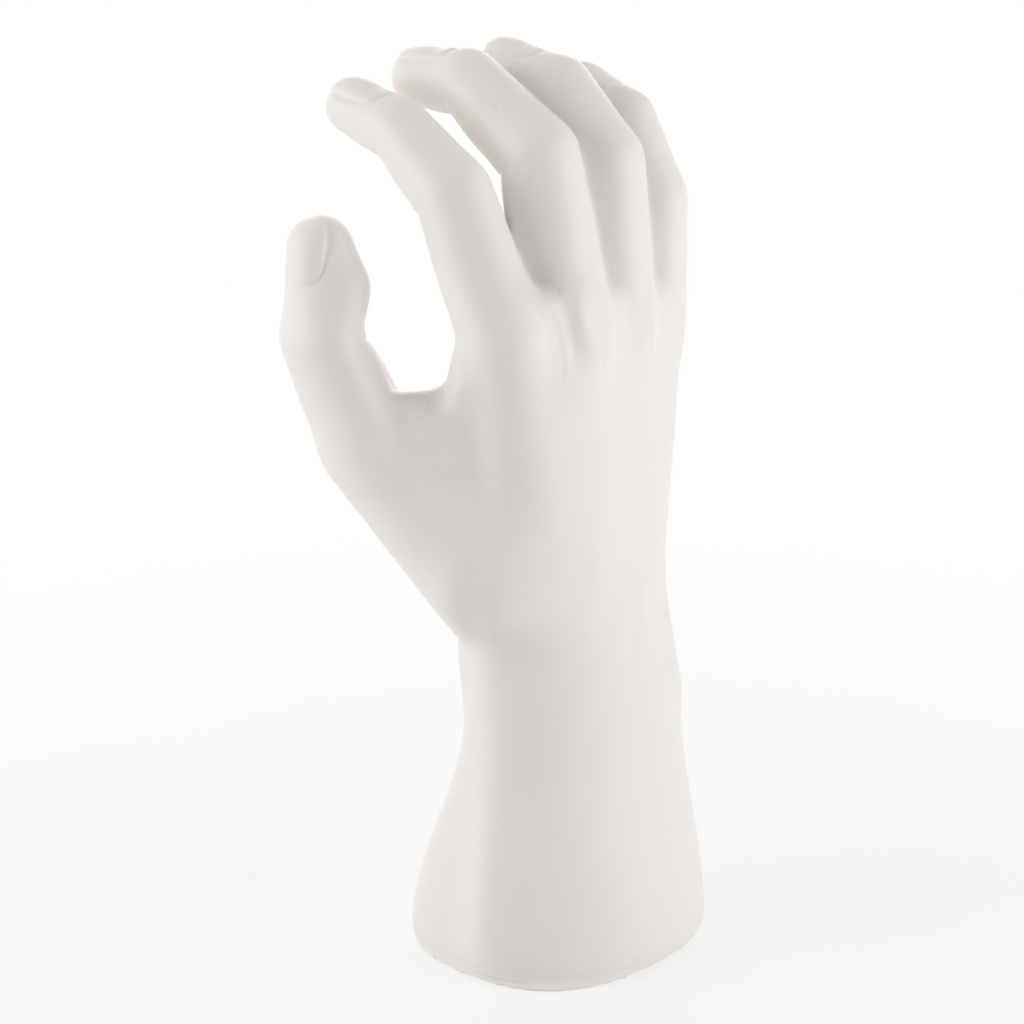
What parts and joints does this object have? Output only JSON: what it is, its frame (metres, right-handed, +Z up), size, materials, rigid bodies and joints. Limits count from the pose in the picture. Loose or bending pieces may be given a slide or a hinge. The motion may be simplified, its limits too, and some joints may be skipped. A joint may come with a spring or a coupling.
{
  "type": "hand display stand",
  "caption": "Right hand on a flared forearm with a flat foot; the open, curled fingers and wrist hold and show rings, bracelets, watches and gloves.",
  "frame": {"origin": "middle of the flat underside of the foot, on the surface that the stand rests on", "axes": "+Z up along the forearm, the back of the hand faces -Y, the palm +Y, the thumb is on the -X side"},
  "size_m": [0.1085, 0.0922, 0.249],
  "materials": {
    "white_plastic": "matt, warm white, moulded"
  },
  "bodies": {
    "root": {"hand": "white_plastic"}
  },
  "joints": []
}
